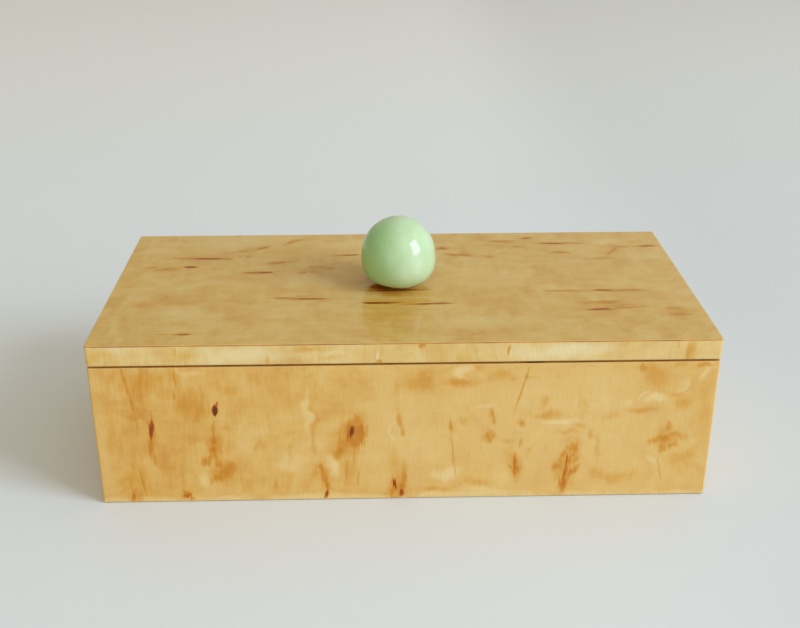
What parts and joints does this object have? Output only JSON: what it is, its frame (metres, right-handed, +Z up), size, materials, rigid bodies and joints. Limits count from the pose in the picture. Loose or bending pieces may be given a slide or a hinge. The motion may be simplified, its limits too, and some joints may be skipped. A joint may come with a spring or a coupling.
{
  "type": "lidded wooden box",
  "caption": "Long low veneered wooden box with a flat lift-off lid, locating strips under the lid and a glazed ball knob at its middle.",
  "frame": {"origin": "middle of the base, on the surface that the box stands on", "axes": "+X along the length of the box to its right, +Y to its back, +Z up"},
  "size_m": [0.2402, 0.1172, 0.0986],
  "materials": {
    "figured_veneer": "figured birch veneer, clear gloss lacquer",
    "birch_board": "plain birch, thin satin lacquer",
    "green_glaze": "pale green gloss glaze",
    "brass": "plain turned brass"
  },
  "bodies": {
    "box": {"bottom_panel": "birch_board", "front_wall": "birch_board", "back_wall": "birch_board", "left_wall": "birch_board", "right_wall": "birch_board", "front_veneer": "figured_veneer", "back_veneer": "figured_veneer", "left_veneer": "figured_veneer", "right_veneer": "figured_veneer", "front_rim_veneer": "figured_veneer", "back_rim_veneer": "figured_veneer", "left_rim_veneer": "figured_veneer", "right_rim_veneer": "figured_veneer"},
    "lid": {"lid_core": "birch_board", "lid_top_veneer": "figured_veneer", "lid_underside_veneer": "figured_veneer", "lid_front_edge_veneer": "figured_veneer", "lid_back_edge_veneer": "figured_veneer", "lid_left_edge_veneer": "figured_veneer", "lid_right_edge_veneer": "figured_veneer", "lid_front_locating_strip": "birch_board", "lid_back_locating_strip": "birch_board", "lid_left_locating_strip": "birch_board", "lid_right_locating_strip": "birch_board", "knob_ball": "green_glaze", "knob_insert": "brass", "knob_screw": "brass"}
  },
  "joints": [
    {"name": "lid_lift", "type": "slide", "parent": "box", "child": "lid", "axis": [0, 0, 1], "range_m": [0, 0.12]}
  ]
}
